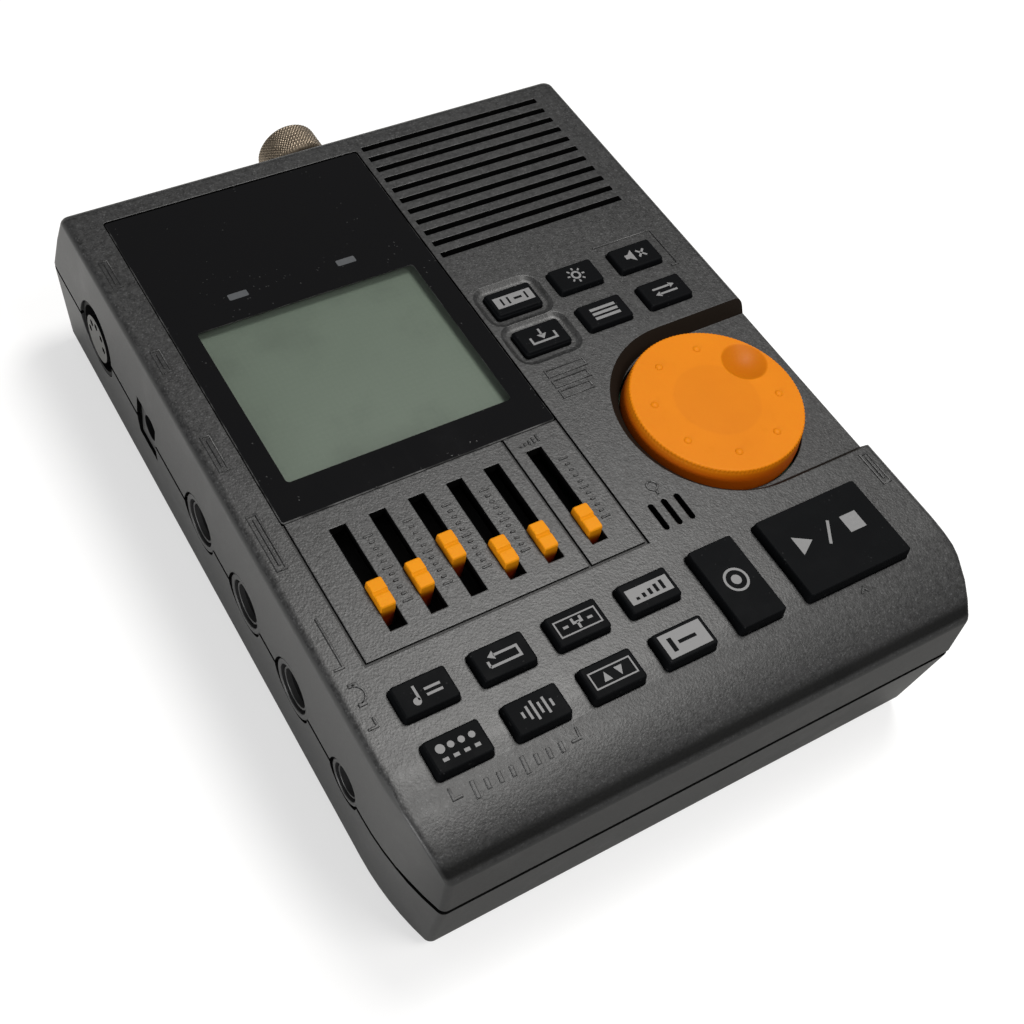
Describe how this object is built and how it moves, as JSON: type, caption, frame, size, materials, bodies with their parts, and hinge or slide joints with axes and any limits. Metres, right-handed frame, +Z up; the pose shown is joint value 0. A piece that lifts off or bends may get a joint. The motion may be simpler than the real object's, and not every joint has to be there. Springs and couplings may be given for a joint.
{
  "type": "digital metronome",
  "caption": "Flat grey tabletop metronome with a display window, an orange tempo dial, orange level faders, black keys, a speaker grille, side sockets and a rear thumb screw for a stand rod.",
  "frame": {"origin": "on the table, under the middle of the whole part, thumb screw included", "axes": "+Z up, +Y to the rear where the thumb screw is, +X to the right as seen by the player"},
  "size_m": [0.1274, 0.1824, 0.0463],
  "materials": {
    "case": "satin, fine grain",
    "window": "gloss",
    "lcd": "satin",
    "white": "satin",
    "lamp": "clear tint",
    "orange": "satin",
    "steel": "brushed",
    "dark": "matte",
    "board": "lacquered",
    "paper": "pressed paper",
    "iron": "sintered",
    "socket": "satin",
    "nickel": "nickel plated, knurled",
    "brass": "turned",
    "alloy": "die cast",
    "cell": "wrapped",
    "key": "matte",
    "foot": "matte"
  },
  "bodies": {
    "case": {"upper_case": "case", "lower_case": "case", "display_window": "window", "lcd_panel": "lcd", "lcd_holder": "white", "beat_lamps": "lamp", "dial_encoder": "dark", "fader_bodies": "dark", "key_switches": "dark", "main_board": "board", "socket_board": "board", "speaker_frame": "dark", "speaker_cone": "paper", "speaker_magnet": "iron", "microphone": "foot", "sync_socket": "socket", "dc_inlet": "socket", "phone_jacks": "socket", "mini_jack": "socket", "input_jacks": "socket", "clamp_block": "alloy", "battery": "cell", "battery_clip": "dark", "rubber_feet": "foot", "case_screws": "steel", "board_screws": "steel"},
    "dial": {"dial": "orange", "dial_shaft": "steel"},
    "shoe": {"clamp_shoe": "brass"},
    "thumb_screw": {"thumb_screw": "nickel"},
    "battery_door": {"battery_door": "case"},
    "fader_1": {"fader_cap_1": "orange", "fader_lever_1": "steel"},
    "fader_2": {"fader_cap_2": "orange", "fader_lever_2": "steel"},
    "fader_3": {"fader_cap_3": "orange", "fader_lever_3": "steel"},
    "fader_4": {"fader_cap_4": "orange", "fader_lever_4": "steel"},
    "fader_5": {"fader_cap_5": "orange", "fader_lever_5": "steel"},
    "fader_6": {"fader_cap_6": "orange", "fader_lever_6": "steel"},
    "power_key": {"power_key": "key"},
    "light_key": {"light_key": "key"},
    "mute_key": {"mute_key": "key"},
    "write_key": {"write_key": "key"},
    "memory_key": {"memory_key": "key"},
    "sync_key": {"sync_key": "key"},
    "tempo_key": {"tempo_key": "key"},
    "loop_key": {"loop_key": "key"},
    "tune_key": {"tune_key": "key"},
    "coach_key": {"coach_key": "key"},
    "pattern_key": {"pattern_key": "key"},
    "voice_key": {"voice_key": "key"},
    "pitch_key": {"pitch_key": "key"},
    "guide_key": {"guide_key": "key"},
    "tap_key": {"tap_key": "key"},
    "start_key": {"start_key": "key"}
  },
  "joints": [
    {"name": "dial_turn", "type": "hinge", "parent": "case", "child": "dial", "pos_m": [0.03865, -0.02895, 0.0441], "axis": [0, 0, 1], "continuous": true},
    {"name": "fader_1_slide", "type": "slide", "parent": "case", "child": "fader_1", "axis": [0, 1, 0], "range_m": [-0.0026, 0.0124]},
    {"name": "fader_2_slide", "type": "slide", "parent": "case", "child": "fader_2", "axis": [0, 1, 0], "range_m": [-0.0032, 0.0118]},
    {"name": "fader_3_slide", "type": "slide", "parent": "case", "child": "fader_3", "axis": [0, 1, 0], "range_m": [-0.0061, 0.0089]},
    {"name": "fader_4_slide", "type": "slide", "parent": "case", "child": "fader_4", "axis": [0, 1, 0], "range_m": [-0.001, 0.014]},
    {"name": "fader_5_slide", "type": "slide", "parent": "case", "child": "fader_5", "axis": [0, 1, 0], "range_m": [-0.0006, 0.0144]},
    {"name": "fader_6_slide", "type": "slide", "parent": "case", "child": "fader_6", "axis": [0, 1, 0], "range_m": [-0.0004, 0.0146]},
    {"name": "power_press", "type": "slide", "parent": "case", "child": "power_key", "axis": [0, 0, -1], "range_m": [0, 0.0008], "stiffness_N_per_m": 1500},
    {"name": "light_press", "type": "slide", "parent": "case", "child": "light_key", "axis": [0, 0, -1], "range_m": [0, 0.0008], "stiffness_N_per_m": 1500},
    {"name": "mute_press", "type": "slide", "parent": "case", "child": "mute_key", "axis": [0, 0, -1], "range_m": [0, 0.0008], "stiffness_N_per_m": 1500},
    {"name": "write_press", "type": "slide", "parent": "case", "child": "write_key", "axis": [0, 0, -1], "range_m": [0, 0.0008], "stiffness_N_per_m": 1500},
    {"name": "memory_press", "type": "slide", "parent": "case", "child": "memory_key", "axis": [0, 0, -1], "range_m": [0, 0.0008], "stiffness_N_per_m": 1500},
    {"name": "sync_press", "type": "slide", "parent": "case", "child": "sync_key", "axis": [0, 0, -1], "range_m": [0, 0.0008], "stiffness_N_per_m": 1500},
    {"name": "tempo_press", "type": "slide", "parent": "case", "child": "tempo_key", "axis": [0, 0, -1], "range_m": [0, 0.0008], "stiffness_N_per_m": 1500},
    {"name": "loop_press", "type": "slide", "parent": "case", "child": "loop_key", "axis": [0, 0, -1], "range_m": [0, 0.0008], "stiffness_N_per_m": 1500},
    {"name": "tune_press", "type": "slide", "parent": "case", "child": "tune_key", "axis": [0, 0, -1], "range_m": [0, 0.0008], "stiffness_N_per_m": 1500},
    {"name": "coach_press", "type": "slide", "parent": "case", "child": "coach_key", "axis": [0, 0, -1], "range_m": [0, 0.0008], "stiffness_N_per_m": 1500},
    {"name": "pattern_press", "type": "slide", "parent": "case", "child": "pattern_key", "axis": [0, 0, -1], "range_m": [0, 0.0008], "stiffness_N_per_m": 1500},
    {"name": "voice_press", "type": "slide", "parent": "case", "child": "voice_key", "axis": [0, 0, -1], "range_m": [0, 0.0008], "stiffness_N_per_m": 1500},
    {"name": "pitch_press", "type": "slide", "parent": "case", "child": "pitch_key", "axis": [0, 0, -1], "range_m": [0, 0.0008], "stiffness_N_per_m": 1500},
    {"name": "guide_press", "type": "slide", "parent": "case", "child": "guide_key", "axis": [0, 0, -1], "range_m": [0, 0.0008], "stiffness_N_per_m": 1500},
    {"name": "tap_press", "type": "slide", "parent": "case", "child": "tap_key", "axis": [0, 0, -1], "range_m": [0, 0.0008], "stiffness_N_per_m": 2500},
    {"name": "start_press", "type": "slide", "parent": "case", "child": "start_key", "axis": [0, 0, -1], "range_m": [0, 0.0008], "stiffness_N_per_m": 2500},
    {"name": "shoe_slide", "type": "slide", "parent": "case", "child": "shoe", "axis": [0, -1, 0], "range_m": [0, 0.001]},
    {"name": "thumb_turn", "type": "hinge", "parent": "shoe", "child": "thumb_screw", "pos_m": [0, 0.0822, 0.0286], "axis": [0, -1, 0], "range_deg": [0, 360]},
    {"name": "door_swing", "type": "hinge", "parent": "case", "child": "battery_door", "pos_m": [0, 0.0101, 0.0029], "axis": [1, 0, 0], "range_deg": [0, 100]}
  ],
  "couplings": [
    {"joint": "thumb_turn", "follows": "shoe_slide", "rad_per_m": 6283.2}
  ]
}
